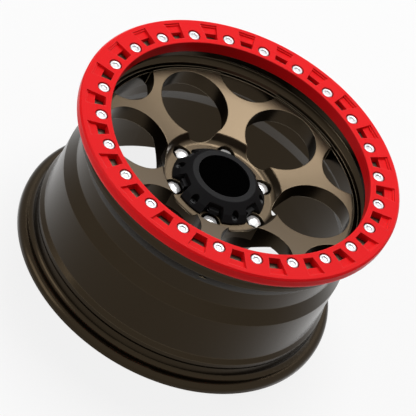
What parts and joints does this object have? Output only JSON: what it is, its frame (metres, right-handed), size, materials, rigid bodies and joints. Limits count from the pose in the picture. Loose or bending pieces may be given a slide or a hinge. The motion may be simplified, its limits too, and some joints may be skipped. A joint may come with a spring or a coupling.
{
  "type": "forged beadlock wheel",
  "caption": "Forged truck wheel: deep barrel, dished disc with round windows, bolted bead-clamping ring, hub bore with coned lug seats, closed lug nuts and a lobed centre cap.",
  "frame": {"origin": "centre of the hub bore on the hub's mounting face", "axes": "+Z along the axle, out of the wheel's face; +X through a ring bolt, a round window and a cap screw"},
  "size_m": [0.4739, 0.474, 0.2484],
  "materials": {
    "bronze_aluminium": "satin",
    "red_aluminium": "satin",
    "bolt_steel": "plated",
    "black_cap": "matt",
    "black_plate": "matt",
    "screw_steel": "blackened",
    "nut_chrome": "polished"
  },
  "bodies": {
    "root": {"wheel_body": "bronze_aluminium", "beadlock_ring": "red_aluminium", "beadlock_bolts": "bolt_steel", "centre_cap": "black_cap", "cap_plate": "black_plate", "cap_screws": "screw_steel", "lug_nuts": "nut_chrome"}
  },
  "joints": []
}
